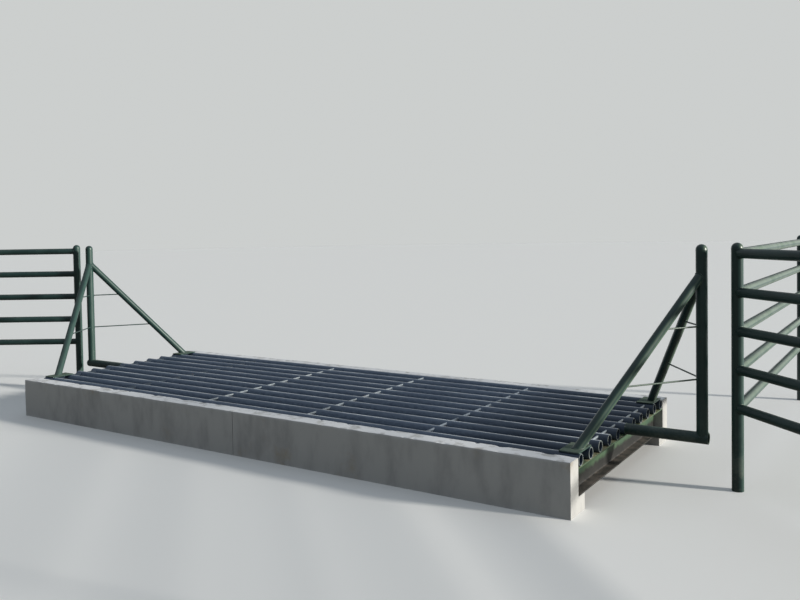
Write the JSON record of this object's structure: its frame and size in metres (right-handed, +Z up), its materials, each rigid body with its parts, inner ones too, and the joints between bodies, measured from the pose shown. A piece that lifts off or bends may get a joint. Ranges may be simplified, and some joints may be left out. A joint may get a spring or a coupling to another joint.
{
  "type": "pipe cattle grid",
  "caption": "Steel pipe cattle grid on cross beams and concrete sills, with a braced pipe wing at each end and post and rail fence bays.",
  "frame": {"origin": "on the underside of the front sill, at the middle of the deck's length", "axes": "+X along the deck pipes, +Y the way traffic crosses, away from the picture's camera, +Z up"},
  "size_m": [13.7735, 6.2877, 1.8653],
  "materials": {
    "green_paint": "dark green paint on steel pipe, slightly chalky",
    "beam_paint": "mid green paint on rolled steel, dusty, with rust at its edges",
    "deck_steel": "dark worn paint, scuffed bare and dusty along the crests",
    "concrete": "weathered pale precast concrete"
  },
  "bodies": {
    "root": {"cross_beam_1": "beam_paint", "cross_beam_2": "beam_paint", "cross_beam_3": "beam_paint", "cross_beam_4": "beam_paint", "cross_beam_5": "beam_paint", "cross_beam_6": "beam_paint", "deck_pipe_01": "deck_steel", "deck_pipe_02": "deck_steel", "deck_pipe_03": "deck_steel", "deck_pipe_04": "deck_steel", "deck_pipe_05": "deck_steel", "deck_pipe_06": "deck_steel", "deck_pipe_07": "deck_steel", "deck_pipe_08": "deck_steel", "deck_pipe_09": "deck_steel", "deck_pipe_10": "deck_steel", "deck_pipe_11": "deck_steel", "front_sill_left": "concrete", "front_sill_right": "concrete", "left_fence_end_post": "green_paint", "left_fence_post": "green_paint", "left_fence_rails": "green_paint", "left_wing_foot_plates": "green_paint", "left_wing_front_brace": "green_paint", "left_wing_outrigger": "green_paint", "left_wing_post": "green_paint", "left_wing_rear_brace": "green_paint", "left_wing_rods": "green_paint", "pipe_spacers_1": "beam_paint", "pipe_spacers_2": "beam_paint", "pipe_spacers_3": "beam_paint", "pipe_spacers_4": "beam_paint", "pipe_spacers_5": "beam_paint", "pipe_spacers_6": "beam_paint", "rear_sill_left": "concrete", "rear_sill_right": "concrete", "right_fence_post": "green_paint", "right_front_end_post": "green_paint", "right_front_rails": "green_paint", "right_rear_end_post": "green_paint", "right_rear_rails": "green_paint", "right_wing_foot_plates": "green_paint", "right_wing_front_brace": "green_paint", "right_wing_outrigger": "green_paint", "right_wing_post": "green_paint", "right_wing_rear_brace": "green_paint", "right_wing_rods": "green_paint"}
  },
  "joints": []
}
